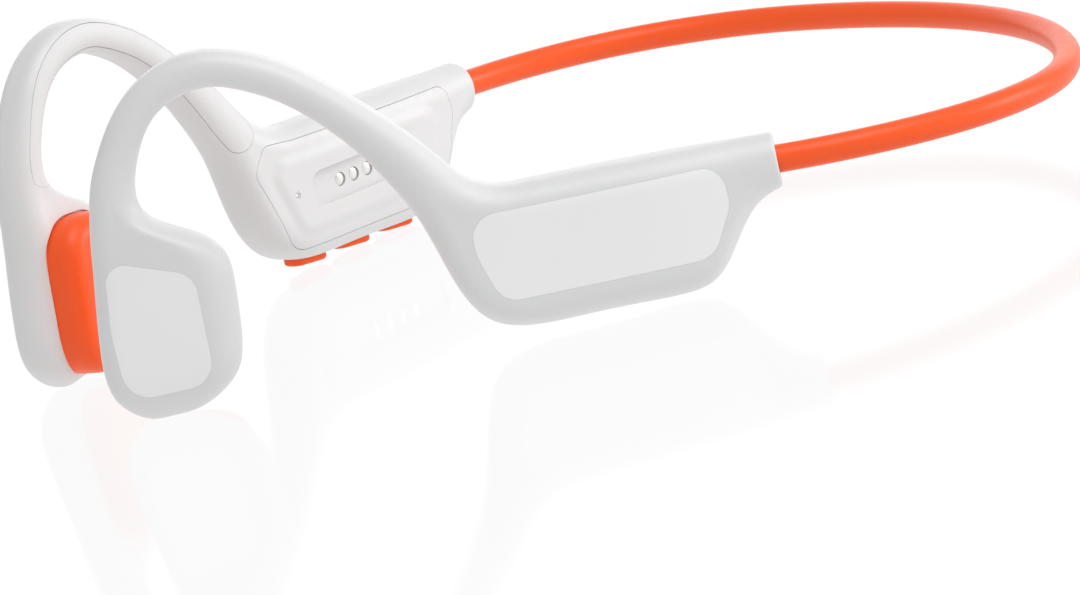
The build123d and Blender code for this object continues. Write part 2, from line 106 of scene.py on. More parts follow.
TUBE_RADIUS = 1.8
BAND_WIRE_RADIUS = 0.4
BAND_CABLE_RADIUS = 0.5
BAND_HALF_WIDTH = 54.8
BAND_REAR_Y = 132.5
BAND_SIDE_RADIUS = 34.0
BAND_DROP = math.radians(2.3)
COLLAR_HEADING = math.radians(24.7)
TUBE_BORE = 1.15
WIRE_LIFT = -0.65
CABLE_LIFT = 0.45
BORE_DEPTH = 6.0
BAND_STEP = 0.5             # mm between rings of the neckband
BAND_SMOOTH = 5.0           # rings
BAND_COLUMNS = 40
SLEEVE_INSERT = 1.8
MOUTH_MIDDLE = (79.8, 0.75, 6.35)

BUTTON_LENGTH = 6.1
BUTTON_WIDTH = 3.4
BUTTON_PITCH = 8.2
FIRST_BUTTON_X = 46.4
POD_BOTTOM_Z = -7.65
BUTTON_PROUD = 1.0
KEY_SLOPE = 0.45            # how much less the key's front end stands out
BUTTON_CLEARANCE = 0.12

CONTACT_PITCH = 2.54
CONTACT_RADIUS = 0.9
DOCK_MIDDLE = (0.4, 1.7)
DOCK_LENGTH = 19.0
DOCK_HEIGHT = 4.8
DOCK_DEPTH = 0.6
PLATEAU = 0.4
STATUS_HOLE = (-11.9, 1.9)
STATUS_RADIUS = 0.3
SEAM = 0.10
INLAY_SEAM = 0.015
CUT_SEAM = 0.06             # the visible gap round the cover and the liner
FRONT_BULGE = 0.35          # how round the liner's two ends are
REAR_BULGE = 0.8
LINER_SHORT = 0.3           # of a rib's spacing that the strip stops before its last rib
COVER_DEPTH = 1.4           # y of the cut under the cover and the liner
PAST_SKIN = 9.0             # y beyond the head side everywhere
FRONT_INLAY_DEPTHS = (-8, -2)
REAR_INLAY_DEPTHS = (-9, -1.5)
BUTTON_SLOT_HEIGHTS = (-11, -5.5)
OPENING_FLOOR = 1.5         # depth of the opening behind the pad
OPENING_SHRINK = 1.5        # how much smaller it is than the pad, all round
DOCK_CORNER = 2.0
SLOT_CORNER = 1.4
ON_SKIN = 0.00003           # metres off the skin within which a point is on it
SKIN_AGREES = 0.93          # least cosine between a cut face and the skin

WALL = 1.2
EDGE_RADIUS = 3.4
EDGE_SHRINK = 0.6           # what an edge radius loses for each mm below the skin
ROUNDEST = 0.46             # largest edge radius, as a share of the thinner way across
# Sections from the front pod's bottom to the collar: two opposite edges in side view as
# (x, z), thickness, y of the middle, and turn about the vertical in degrees
RIBS = [
    ((-4.8, -10.2), (3.2, -9.55), 2.8, 0.9, -12.0),
    ((-6.4, -9.3), (5.3, -8.6), 4.8, 0.9, -12.0),
    ((-7.7, -8.3), (7.0, -7.5), 6.3, 0.9, -12.0),
    ((-8.6, -6.6), (8.3, -5.8), 7.3, 0.9, -12.0),
    ((-9.0, -3.4), (9.2, -3.0), 7.6, 0.9, -12.0),
    ((-8.8, 0.0), (9.7, 0.8), 7.6, 0.9, -12.0),
    ((-8.2, 5.0), (10.0, 5.6), 7.6, 0.9, -12.0),
    ((-7.7, 8.6), (9.9, 8.6), 7.5, 0.95, -12.0),
    ((-7.4, 10.8), (8.9, 10.7), 7.3, 1.0, -11.5),
    ((-7.15, 12.6), (7.1, 12.1), 7.0, 1.1, -11.0),
    ((-6.9, 14.2), (4.5, 13.3), 6.7, 1.2, -10.0),
    ((-6.5, 16.2), (1.8, 14.6), 6.4, 1.35, -9.0),
    ((-6.1, 18.2), (0.3, 16.2), 6.2, 1.45, -8.0),
    ((-5.3, 21.0), (-0.1, 18.8), 6.1, 1.5, -7.0),
    ((-3.6, 24.6), (0.9, 22.4), 6.0, 1.45, -6.0),
    ((-1.1, 28.7), (2.7, 25.9), 6.0, 1.35, -5.0),
    ((2.2, 32.1), (5.0, 28.4), 6.0, 1.2, -4.5),
    ((6.8, 34.5), (8.2, 29.9), 6.0, 1.05, -4.5),
    ((11.9, 35.0), (11.9, 30.35), 6.0, 0.85, -4.5),
    ((17.3, 33.6), (15.3, 29.4), 6.0, 0.5, -4.5),
    ((22.9, 30.6), (20.2, 26.8), 6.1, 0.1, -4.5),
    ((28.0, 26.5), (24.7, 23.0), 6.3, -0.3, -4.5),
    ((33.3, 21.5), (29.0, 17.9), 6.6, -0.7, -4.0),
    ((37.5, 16.8), (32.3, 12.5), 7.1, -1.0, -2.0),
    ((40.0, 13.7), (34.2, 8.7), 7.7, -1.15, 0.0),
    ((42.0, 12.0), (35.5, 4.8), 8.3, -1.2, 1.5),
    ((44.2, 11.0), (36.7, 0.6), 8.8, -1.15, 2.5),
    ((46.4, 10.65), (38.1, -3.0), 9.1, -1.05, 3.0),
    ((49.0, 10.6), (40.5, -6.0), 9.3, -0.85, 3.3),
    ((52.0, 10.55), (44.8, -7.45), 9.4, -0.6, 3.3),
    ((57.0, 10.5), (52.0, -7.65), 9.4, -0.3, 3.3),
    ((62.0, 10.35), (60.0, -7.75), 9.4, 0.05, 3.3),
    ((66.5, 10.25), (66.2, -7.8), 9.1, 0.35, 3.0),
    ((69.3, 10.15), (69.3, -7.0), 8.7, 0.5, 2.5),
    ((71.8, 10.1), (71.8, -4.4), 8.3, 0.65, 1.5),
    ((74.0, 10.0), (74.1, -0.9), 7.8, 0.72, 0.5),
    ((76.4, 9.95), (76.5, 1.6), 7.4, 0.75, -0.5),
    ((79.8, 9.85), (79.8, 2.85), 7.0, 0.75, -1.0),
]
DOCK_FLOOR = REAR_FACE + PLATEAU - DOCK_DEPTH
BUTTON_SPOTS = [FIRST_BUTTON_X + i * BUTTON_PITCH - REAR_MIDDLE[0] for i in range(3)]
CONTACT_SPOTS = [DOCK_MIDDLE[0] + CONTACT_PITCH * (i - 1.5) for i in range(4)]

LINER_RIBS = range(12, 25)
LINER_OUTER_MARGINS = [2.7, 2.2, 1.8, 1.4, 1.1, 0.9] + [0.75] * 5 + [0.9, 1.4]
LINER_INNER_MARGINS = [0.75] * 11 + [0.9, 1.4]

# Outlines as corners with their radii: (x, z) of the ear unit, and (forward, up) of the
# front pod's own frame for its inlay and the pad
COVER_OUTLINE = [
    ((37.1, 6.4), 2.2), ((39.6, 9.6), 1.5), ((45.0, 9.0), 5.0), ((73.7, 8.4), 1.8),
    ((74.3, 4.6), 3.0), ((70.0, -5.7), 3.0), ((41.3, -5.6), 3.0),
]
PLATEAU_OUTLINE = [
    ((39.2, 5.2), 2.2), ((41.2, 7.7), 2.2), ((72.0, 7.2), 3.0), ((69.2, -4.5), 3.5),
    ((42.4, -4.4), 3.2),
]
REAR_INLAY_OUTLINE = [
    ((40.4, 8.2), 3.2), ((72.6, 7.9), 3.0), ((72.9, 2.6), 4.5), ((69.6, -3.5), 3.5),
    ((42.6, -3.3), 3.2), ((40.5, 3.2), 8.0),
]
FRONT_INLAY_OUTLINE = [
    ((6.2, -7.0), 3.6), ((6.6, 2.0), 12.0), ((5.6, 11.4), 2.6), ((-5.7, 8.0), 3.0),
    ((-5.6, -6.2), 3.8),
]
PAD_OUTLINE = [
    ((8.0, -9.8), 5.0), ((-6.2, -8.2), 4.6), ((-6.9, 11.2), 5.0), ((6.4, 12.2), 5.4),
]

# ---- light and camera -------------------------------------------------------
WORLD_LIGHT = 0.57
SOFTBOXES = [               # name, place, size (m) and power (W)
    ("key", (0.5, 0.15, 1.0), (0.7, 0.7), 5.6),
    ("side", (0.35, 1.05, 0.3), (0.5, 0.5), 4.3),
    ("backdrop", (-1.3, 0.55, 0.34), (1.6, 0.66), 3.6),
]
FLOOR_GLOSS = 0.09          # share of the floor's light that is a reflection
FLOOR_ROUGHNESS = 0.1
CAMERA_TURN = math.radians(24.0)    # from the left unit's outside towards the front
CAMERA_RISE = math.radians(6.92)
CAMERA_LEAN = math.radians(14.5)    # about the row frame's X axis; it rolls the picture
CAMERA_AIM = (0, 60, 0)     # mm
CAMERA_DISTANCE = 1150      # mm
CAMERA_LENS = 293.25
SENSOR_WIDTH = 36

SHARP = 50                  # degrees between two faces from which an edge is sharp
PIN_SHARP = 40


# ---- frames -----------------------------------------------------------------
def tip(points):
    """Points of the level frame, in mm, to the row frame, in metres."""
    x, y, z = np.asarray(points, float).T
    c, s = math.cos(REST_PITCH), math.sin(REST_PITCH)
    return np.stack([x, y * c + z * s - FOOTPRINT_MIDDLE_Y, z * c - y * s + FLOOR_DROP], 1) * MM


def place(points, side):
    """Points of the ear unit's frame, in mm, to the row frame, in metres."""
    x, y, z = np.asarray(points, float).T
    c, s = math.cos(UNIT_HEADING), math.sin(UNIT_HEADING)
    across = UNIT_FOOT_X + x * s - y * c
    if side == "right":
        across = -across
    return tip(np.stack([across, x * c + y * s, z], 1))


def pod_point(forward, up, depth):
    """A point of the front pod's own frame in the ear unit's frame."""
    c, s = math.cos(POD_TOE), math.sin(POD_TOE)
    x = POD_MIDDLE[0] - forward * c + depth * s
    y = POD_MIDDLE[1] + forward * s + depth * c
    return np.stack(np.broadcast_arrays(x, y, up), -1)


def rear_point(x, y, z):
    """A point of the rear pod's own frame in the ear unit's frame."""
    c, s = math.cos(REAR_TOE), math.sin(REAR_TOE)
    return np.stack(np.broadcast_arrays(REAR_MIDDLE[0] + x * c + y * s,
                                        REAR_MIDDLE[1] - x * s + y * c, z), -1)


# ---- outlines -----------------------------------------------------------------
def rounded(corners, grow=0.0, per_corner=12, per_side=10):
    """A convex or slightly hollow polygon with rounded corners, grown outwards, as points."""
    p = np.array([corner for corner, _ in corners], float)
    radii = [radius for _, radius in corners]
    edge = np.roll(p, -1, 0) - p
    edge /= np.linalg.norm(edge, axis=1)[:, None]
    area = np.sum(p[:, 0] * np.roll(p[:, 1], -1) - p[:, 1] * np.roll(p[:, 0], -1))
    turn = math.copysign(1, area)
    out = np.stack([edge[:, 1], -edge[:, 0]], 1) * turn
    arcs = []
    for i, corner in enumerate(p):
        before, after = edge[i - 1], edge[i]
        cross = before[0] * after[1] - before[1] * after[0]
        bend = math.copysign(1, cross) * turn
        mitre = (out[i - 1] + out[i]) / (1 + out[i - 1] @ out[i])
        radius = max(radii[i] + bend * grow, 0.05)
        centre = corner + mitre * (grow - bend * radius)
        start = math.atan2(bend * out[i - 1][1], bend * out[i - 1][0])
        sweep = math.atan2(cross, before @ after)
        angles = start + sweep * np.linspace(0, 1, per_corner)
        arcs.append(centre + radius * np.stack([np.cos(angles), np.sin(angles)], 1))
    points = []
    for arc, following in zip(arcs, arcs[1:] + arcs[:1]):
        steps = np.linspace(0, 1, per_side, endpoint=False)[1:, None]
        points += [arc, arc[-1] + (following[0] - arc[-1]) * steps]
    return np.concatenate(points)


def softened(outline, count=132, sigma=3.5):
    """An outline resampled evenly and smoothed, so that its sides bow a little."""
    ends = np.concatenate([outline, outline[:1]])
    along = np.concatenate([[0], np.cumsum(np.linalg.norm(np.diff(ends, axis=0), axis=1))])
    at = np.linspace(0, along[-1], count, endpoint=False)
    even = np.stack([np.interp(at, along, ends[:, 0]), np.interp(at, along, ends[:, 1])], 1)
    return smooth_along(even, sigma, 0, closed=True)


def rectangle(length, height, radius):
    """A rounded rectangle about zero, in the same form as the outlines above."""
    a, b = length / 2, height / 2
    return [((a, -b), radius), ((a, b), radius), ((-a, b), radius), ((-a, -b), radius)]


def depth_inside(points, outline):
    """How far points lie inside a closed outline; outside it is negative."""
    ends = np.roll(outline, -1, 0)
    along = ends - outline
    share = np.einsum("pij,ij->pi", points[:, None] - outline, along) / (along ** 2).sum(1)
    nearest = outline + np.clip(share, 0, 1)[..., None] * along
    distance = np.linalg.norm(points[:, None] - nearest, axis=2).min(1)
    above = (outline[:, 1] > points[:, 1:]) != (ends[:, 1] > points[:, 1:])
    rise = np.where(along[:, 1] == 0, 1, along[:, 1])
    crossing = outline[:, 0] + (points[:, 1:] - outline[:, 1]) / rise * along[:, 0]
    inside = (above & (points[:, :1] < crossing)).sum(1) % 2 == 1
    return np.where(inside, distance, -distance)


# ---- meshes, in the ear unit's frame and in mm until settle() moves them -------
def new_mesh(name, verts, faces):
    mesh = bpy.data.meshes.new(name)
    mesh.from_pydata(np.asarray(verts).tolist(), [], [list(face) for face in faces])
    obj = bpy.data.objects.new(name, mesh)
    bpy.context.scene.collection.objects.link(obj)
    return obj


def volume(verts, faces):
    """Six times the signed volume; only its sign is used."""
    total = 0
    for face in faces:
        first = verts[face[0]]
        for second, third in zip(face[1:-1], face[2:]):
            total += first @ np.cross(verts[second], verts[third])
    return total


def closed_rings(rings, inside_out=False):
    """Points and faces of a closed skin through rings of points, with a fan at each end."""
    rings = np.asarray(rings)
    rows, columns, _ = rings.shape
    verts = np.concatenate([rings.reshape(-1, 3), [rings[0].mean(0), rings[-1].mean(0)]])
    i, j = np.meshgrid(np.arange(rows - 1), np.arange(columns), indexing="ij")
    a = i * columns + j
    b = i * columns + (j + 1) % columns
    faces = np.stack([a, b, b + columns, a + columns], -1).reshape(-1, 4).tolist()
    last = (rows - 1) * columns
    for j in range(columns):
        k = (j + 1) % columns
        faces.append([rows * columns, k, j])
        faces.append([rows * columns + 1, last + j, last + k])
    if (volume(verts, faces) < 0) != inside_out:
        faces = [face[::-1] for face in faces]
    return verts, faces


def joined(*parts):
    """Several sets of points and faces as one."""
    verts, faces, offset = [], [], 0
    for part_verts, part_faces in parts:
        verts.append(part_verts)
        faces += [[index + offset for index in face] for face in part_faces]
        offset += len(part_verts)
    return np.concatenate(verts), faces


def prism(low, high):
    """A closed prism between two outlines with the same number of points."""
    verts = np.concatenate([low, high])
    count = len(low)
    faces = [[j, (j + 1) % count, (j + 1) % count + count, j + count] for j in range(count)]
    faces += [list(range(count))[::-1], list(range(count, 2 * count))]
    if volume(verts, faces) < 0:
        faces = [face[::-1] for face in faces]
    return new_mesh("cutter", verts, faces)


def pod_prism(corners, low, high, grow=0.0):
    """An outline of the front pod's own frame, extruded in to the head."""
    forward, up = rounded(corners, grow).T
    return prism(pod_point(forward, up, low), pod_point(forward, up, high))


def side_prism(corners, low, high, grow=0.0):
    """An outline in the ear unit's side view, extruded in to the head."""
    x, z = rounded(corners, grow).T
    return prism(np.stack([x, np.full_like(x, low), z], 1),
                 np.stack([x, np.full_like(x, high), z], 1))


def rear_prism(corners, middle, low, high):
    """An outline in the rear pod's side view, about a middle point."""
    x, z = rounded(corners).T + np.array(middle)[:, None]
    return prism(rear_point(x, low, z), rear_point(x, high, z))


def floor_prism(corners, middle_x, low, high):
    """An outline in the rear pod's plan, extruded upwards."""
    x, y = rounded(corners).T
    return prism(rear_point(x + middle_x, y, low), rear_point(x + middle_x, y, high))


def cut(obj, cutter, operation="DIFFERENCE"):
    """A boolean with a cutter that is used up."""
    modifier = obj.modifiers.new("cut", "BOOLEAN")
    modifier.operation = operation
    modifier.solver = "EXACT"
    modifier.object = cutter
    graph = bpy.context.evaluated_depsgraph_get()
    result = bpy.data.meshes.new_from_object(obj.evaluated_get(graph))
    obj.modifiers.clear()
    obj.data = result
    bpy.data.objects.remove(cutter)
    return obj


def copy_of(obj, name):
    twin = bpy.data.objects.new(name, obj.data.copy())
    bpy.context.scene.collection.objects.link(twin)
    return twin


# ---- the skin of one ear unit ---------------------------------------------------
ARC_STEPS = 12
LONG_STEPS = 30
SHORT_STEPS = 6
ROW_STEP = 0.4              # mm between rings of the skin
ROW_SMOOTH = 2.8            # rings
RING_SMOOTH = 1.2           # points
CAVITY_STEP = 1.2
BOTTOM_ROWS = 30            # rings over which the pod's bottom is made rounder
BOTTOM_SMOOTH = 2.6         # rings
PLATEAU_EDGE = 1.7          # how wide the plateau's soft edge is


def smooth_along(values, sigma, axis, closed):
    """Gaussian smoothing of a grid of points along one axis; open ends stay put."""
    reach = int(3 * sigma) + 1
    kernel = np.exp(-0.5 * (np.arange(-reach, reach + 1) / sigma) ** 2)
    kernel /= kernel.sum()
    values = np.moveaxis(values, axis, 0)
    if closed:
        wide = np.concatenate([values[-reach:], values, values[:reach]])
    else:
        start = 2 * values[:1] - values[reach:0:-1]
        end = 2 * values[-1:] - values[-2:-reach - 2:-1]
        wide = np.concatenate([start, values, end])
    result = sum(weight * wide[i:i + len(values)] for i, weight in enumerate(kernel))
    return np.moveaxis(result, 0, axis)


def natural_spline(knots, values, at):
    """A C2 cubic through values at the knots, evaluated at many places at once."""
    n = len(knots)
    h = np.diff(knots)
    flat = values.reshape(n, -1)
    system = np.zeros((n, n))
    right = np.zeros_like(flat)
    system[0, 0] = system[-1, -1] = 1
    slope = np.diff(flat, axis=0) / h[:, None]
    for i in range(1, n - 1):
        system[i, i - 1:i + 2] = h[i - 1], 2 * (h[i - 1] + h[i]), h[i]
        right[i] = 6 * (slope[i] - slope[i - 1])
    second = np.linalg.solve(system, right)
    i = np.clip(np.searchsorted(knots, at) - 1, 0, n - 2)
    a = ((knots[i + 1] - at) / h[i])[:, None]
    b = 1 - a
    hh = (h[i] ** 2 / 6)[:, None]
    result = (a * flat[i] + b * flat[i + 1]
              + ((a ** 3 - a) * second[i] + (b ** 3 - b) * second[i + 1]) * hh)
    return result.reshape(len(at), *values.shape[1:])


def section_points(width, thickness, inset):
    """A rounded rectangle as points; x to the unit's outer edge, y in to the head."""
    width, thickness = width - 2 * inset, thickness - 2 * inset
    radius = min(EDGE_RADIUS - EDGE_SHRINK * inset, ROUNDEST * min(width, thickness))
    a, b = width / 2 - radius, thickness / 2 - radius
    sides = [((a + radius, -b), (a + radius, b), SHORT_STEPS, (a, b)),
             ((a, b + radius), (-a, b + radius), LONG_STEPS, (-a, b)),
             ((-a - radius, b), (-a - radius, -b), SHORT_STEPS, (-a, -b)),
             ((-a, -b - radius), (a, -b - radius), LONG_STEPS, (a, -b))]
    points = []
    for quarter, (start, end, steps, centre) in enumerate(sides):
        share = np.linspace(0, 1, steps, endpoint=False)[:, None]
        points.append(np.array(start) + (np.array(end) - np.array(start)) * share)
        turn = np.pi / 2 * (quarter + np.linspace(0, 1, ARC_STEPS, endpoint=False))
        points.append(np.array(centre) + radius * np.stack([np.cos(turn), np.sin(turn)], 1))
    return np.concatenate(points)


def skin_grid(ribs, inset, step):
    """Rings of points of a skin that lies inset below the unit's outer surface."""
    rings = []
    for (x1, z1), (x2, z2), thickness, middle, turn in ribs:
        width = math.hypot(x1 - x2, z1 - z2)
        c, s = math.cos(math.radians(turn)), math.sin(math.radians(turn))
        across = np.array([(x1 - x2) / width * c, (x1 - x2) / width * s, (z1 - z2) / width])
        flat = section_points(width, thickness, inset)
        centre = np.array([(x1 + x2) / 2, middle, (z1 + z2) / 2])
        rings.append(centre + flat[:, :1] * across + flat[:, 1:] * np.array([-s, c, 0]))
    rings = np.array(rings)
    middles = rings.mean(1)
    knots = np.concatenate([[0], np.cumsum(np.linalg.norm(np.diff(middles, axis=0), axis=1))])
    at = np.linspace(0, knots[-1], int(knots[-1] / step))
    grid = smooth_along(natural_spline(knots, rings, at), ROW_SMOOTH * ROW_STEP / step, 0, False)
    return smooth_along(grid, RING_SMOOTH, 1, True)


def raise_plateau(grid):
    """The soft-edged raised middle on the head side of the rear pod."""
    points = grid.reshape(-1, 3)
    outline = rounded(PLATEAU_OUTLINE)
    near = ((points[:, 0] > outline[:, 0].min()) & (points[:, 0] < outline[:, 0].max())
            & (points[:, 1] > REAR_MIDDLE[1] + 2))
    depth = depth_inside(points[near][:, [0, 2]], outline)
    share = np.clip(depth / PLATEAU_EDGE, 0, 1)
    lift = PLATEAU * share * share * (3 - 2 * share)
    inwards = rear_point(0, 1, 0) - rear_point(0, 0, 0)
    points[near] += lift[:, None] * inwards
    return points.reshape(grid.shape)


def pod_cap(first, following):
    """Rings that close the bottom of the front pod with a shallow bowl, lowest first."""
    middle = first.mean(0)
    down = middle - following.mean(0)
    down /= np.linalg.norm(down)
    drop = 0.22
    return [middle + (first - middle) * share + down * drop * (1 - share ** 2)
            for share in np.linspace(0.1, 0.9, 9)]


def collar_cap(last, before):
    """A small rounded rim and the flat end of the collar."""
    middle = last.mean(0)
    radius = np.linalg.norm(last - middle, axis=1).mean()
    ahead = middle - before.mean(0)
    ahead /= np.linalg.norm(ahead)
    rim = 0.3
    rings = []
    for t in np.radians(np.linspace(15, 90, 6)):
        shrink = 1 - rim * (1 - math.cos(t)) / radius
        rings.append(middle + (last - middle) * shrink + ahead * rim * (math.sin(t) - 1))
    return rings + [middle + (rings[-1] - middle) * share for share in (0.8, 0.6, 0.4, 0.2)]


def outer_skin():
    grid = raise_plateau(skin_grid(RIBS, 0.0, ROW_STEP))
    sharp = np.concatenate([pod_cap(grid[0], grid[4]), grid[:-1]])
    soft = smooth_along(sharp, BOTTOM_SMOOTH, 0, closed=False)
    share = np.clip((BOTTOM_ROWS - np.arange(len(sharp))) / (BOTTOM_ROWS / 2), 0, 1)[:, None, None]
    return np.concatenate([soft * share + sharp * (1 - share), collar_cap(grid[-1], grid[-5])])


SKIN = outer_skin()
OUTER = closed_rings(SKIN)
CAVITY = closed_rings(skin_grid(RIBS[1:-1], WALL, CAVITY_STEP), inside_out=True)


def cut_unit():
    """The unit's casing and the pieces that lie flush in it, cut from one skin."""
    solid = new_mesh("solid", *joined(OUTER, CAVITY))
    shell = copy_of(solid, "shell")
    pieces = {}
    for name, outline in (
        ("front_inlay", lambda grow: pod_prism(FRONT_INLAY_OUTLINE, *FRONT_INLAY_DEPTHS, grow)),
        ("rear_inlay", lambda grow: side_prism(REAR_INLAY_OUTLINE, *REAR_INLAY_DEPTHS, grow)),
        ("hook_liner", liner_prism),
        ("rear_cover", lambda grow: side_prism(COVER_OUTLINE, COVER_DEPTH, PAST_SKIN, grow)),
    ):
        seam = INLAY_SEAM if "inlay" in name else CUT_SEAM
        pieces[name] = cut(copy_of(solid, name), outline(0.0), "INTERSECT")
        cut(shell, outline(seam))
    cut(shell, pod_prism(PAD_OUTLINE, POD_FACE - PAD_SOCKET, PAST_SKIN, SEAM))
    cut(shell, pod_prism(PAD_OUTLINE, OPENING_FLOOR, PAST_SKIN, -OPENING_SHRINK))
    cut(shell, collar_bore())
    bpy.data.objects.remove(solid)
    pieces["shell"] = shell
    return pieces


def cut_right_unit(pieces):
    """Button slots, charging recess, contact holes and status hole of the right unit."""
    slot = rectangle(BUTTON_LENGTH + 2 * BUTTON_CLEARANCE, BUTTON_WIDTH + 2 * BUTTON_CLEARANCE,
                     SLOT_CORNER)
    for spot in BUTTON_SPOTS:
        cut(pieces["shell"], floor_prism(slot, spot, *BUTTON_SLOT_HEIGHTS))
    cover = pieces["rear_cover"]
    dock = rectangle(DOCK_LENGTH, DOCK_HEIGHT, DOCK_CORNER)
    cut(cover, rear_prism(dock, DOCK_MIDDLE, DOCK_FLOOR, PAST_SKIN))
    for spot in CONTACT_SPOTS:
        cut(cover, hole((spot, DOCK_MIDDLE[1]), CONTACT_RADIUS + 0.05, 0))
    cut(cover, hole(STATUS_HOLE, STATUS_RADIUS + 0.06, 0))
    cut(cover, hole(STATUS_HOLE, STATUS_RADIUS + 0.24, REAR_FACE + PLATEAU - 0.09))


def hole(middle, radius, low):
    """A round cutter through the rear pod's head side, as a square that is nearly all corner."""
    side = 2 * radius - 0.001
    return rear_prism(rectangle(side, side, radius - 0.001), middle, low, PAST_SKIN)


def liner_prism(grow):
    """The soft strip's outline: it follows the hook's edges and has two round ends."""
    outer, inner = [], []
    for index, outside, inside in zip(LINER_RIBS, LINER_OUTER_MARGINS, LINER_INNER_MARGINS):
        first, second = np.array(RIBS[index][0]), np.array(RIBS[index][1])
        along = (first - second) / np.linalg.norm(first - second)
        outer.append(first - along * (outside - grow))
        inner.append(second + along * (inside - grow))
    at = np.linspace(0, len(outer) - 1 - LINER_SHORT, 90)
    knots = np.arange(len(outer), dtype=float)
    outer = natural_spline(knots, np.array(outer), at)
    inner = natural_spline(knots, np.array(inner), at)
    first = half_round(inner[0], outer[0], outer[0] - outer[3], FRONT_BULGE)
    last = half_round(outer[-1], inner[-1], outer[-1] - outer[-4], REAR_BULGE)
    x, z = np.concatenate([outer, last, inner[::-1], first]).T
    return prism(np.stack([x, np.full_like(x, COVER_DEPTH), z], 1),
                 np.stack([x, np.full_like(x, PAST_SKIN), z], 1))


def half_round(start, end, ahead, bulge):
    """The points between two ends of a half round that bulges ahead."""
    middle, arm = (start + end) / 2, (start - end) / 2
    normal = np.array([-arm[1], arm[0]])
    if normal @ ahead < 0:
        normal = -normal
    turns = np.linspace(0, np.pi, 22)[1:-1, None]
    return middle + arm * np.cos(turns) + normal * np.sin(turns) * bulge


def disc(centre, normal, radius, count=48):
    """A ring of points round a centre."""
    normal = normal / np.linalg.norm(normal)
    side = np.cross(normal, [0.0, 0.0, 1.0])
    side /= np.linalg.norm(side)
    up = np.cross(side, normal)
    turns = np.linspace(0, 2 * np.pi, count, endpoint=False)[:, None]
    return centre + radius * (np.cos(turns) * side + np.sin(turns) * up)


def collar_bore():
    """The hole that the neckband's sleeve goes into, with a small lead-in."""
    middle = np.array(MOUTH_MIDDLE)
    run = from_level(band_line(COLLAR_HEADING, 1.0)) - from_level(band_line(COLLAR_HEADING, 0.0))
    fit = 0.07
    stops = ((-1.2, 0.55), (0.0, 0.28), (0.3, fit), (BORE_DEPTH, fit))
    rings = [disc(middle - run[0] * depth, run[0], TUBE_RADIUS + room) for depth, room in stops]
    return new_mesh("cutter", *closed_rings(rings))


# ---- the neckband, in the level frame -------------------------------------------
def from_level(points):
    """Points of the level frame to the left ear unit's frame."""
    x, y, z = np.asarray(points, float).T
    c, s = math.cos(UNIT_HEADING), math.sin(UNIT_HEADING)
    x = x - UNIT_FOOT_X
    return np.stack([x * s + y * c, y * s - x * c, z], 1)


def band_mouth():
    c, s = math.cos(UNIT_HEADING), math.sin(UNIT_HEADING)
    along, inwards, height = MOUTH_MIDDLE
    return np.array([UNIT_FOOT_X + along * s - inwards * c, along * c + inwards * s, height])


def band_level(x, y):
    """Points of the falling plane that the neckband lies in, given in the plan."""
    mouth = band_mouth()
    back = np.asarray(y) - mouth[1]
    return np.stack([x, mouth[1] + back * math.cos(BAND_DROP),
                     mouth[2] - back * math.sin(BAND_DROP)], -1)


def band_line(heading, run):
    """A point of the straight line through the left collar's mouth."""
    mouth = band_mouth()
    return band_level(np.array([mouth[0] + run * math.sin(heading)]),
                      np.array([mouth[1] + run * math.cos(heading)]))


def band_route():
    """The whole centre line from the right collar round to the left one."""
    mouth = band_mouth()
    front = (BAND_HALF_WIDTH - mouth[0]) / (1 - math.cos(COLLAR_HEADING))
    widest = mouth[1] + front * math.sin(COLLAR_HEADING)
    side_x = BAND_HALF_WIDTH - BAND_SIDE_RADIUS
    reach = BAND_REAR_Y - widest
    rear = (side_x ** 2 + reach ** 2 - BAND_SIDE_RADIUS ** 2) / (2 * (reach - BAND_SIDE_RADIUS))
    rear_y = BAND_REAR_Y - rear
    join = math.asin((widest - rear_y) / (rear - BAND_SIDE_RADIUS))
    spans = []
    for centre, radius, start, end in (
        ((0, rear_y), rear, math.pi / 2, join),
        ((side_x, widest), BAND_SIDE_RADIUS, join, 0),
        ((BAND_HALF_WIDTH - front, widest), front, 0, -COLLAR_HEADING),
    ):
        count = int(radius * abs(start - end) / BAND_STEP)
        turns = np.linspace(start, end, count, endpoint=False)
        spans.append(np.array(centre) + radius * np.stack([np.cos(turns), np.sin(turns)], 1))
    back = np.linspace(0, SLEEVE_INSERT, int(SLEEVE_INSERT / BAND_STEP) + 1)[:, None]
    heading = np.array([math.sin(COLLAR_HEADING), math.cos(COLLAR_HEADING)])
    spans.append(mouth[:2] - back * heading)
    left = np.concatenate(spans)
    whole = np.concatenate([left[:0:-1] * (-1, 1), left])
    return smooth_along(whole, BAND_SMOOTH, 0, closed=False)


def band_half(name, side, radius, bore=0.0, lift=0.0):
    """Half of a tube or rod that follows the neckband, from its rear middle to a collar."""
    route = band_route()
    middle = len(route) // 2
    points = band_level(*route.T)
    ahead = np.gradient(points, axis=0)
    ahead /= np.linalg.norm(ahead, axis=1)[:, None]
    up = np.array([0, math.sin(BAND_DROP), math.cos(BAND_DROP)])
    out = np.cross(ahead, up)
    half = slice(middle, None) if side == "left" else slice(0, middle + 1)
    points, out = points[half, None], out[half, None]
    turns = np.linspace(0, 2 * np.pi, BAND_COLUMNS, endpoint=False)[:, None]
    circle = np.cos(turns) * out + np.sin(turns) * up
    rings = list(points + lift * up + radius * circle)
    if bore:
        inside = list(points + lift * up + bore * circle)
        verts = np.concatenate(rings + inside[::-1])
        verts, faces = looped_rings(verts, len(rings) * 2)
    else:
        verts, faces = closed_rings(rings)
    obj = new_mesh(name, verts, faces)
    obj.data.vertices.foreach_set("co", tip(verts).ravel())
    return obj


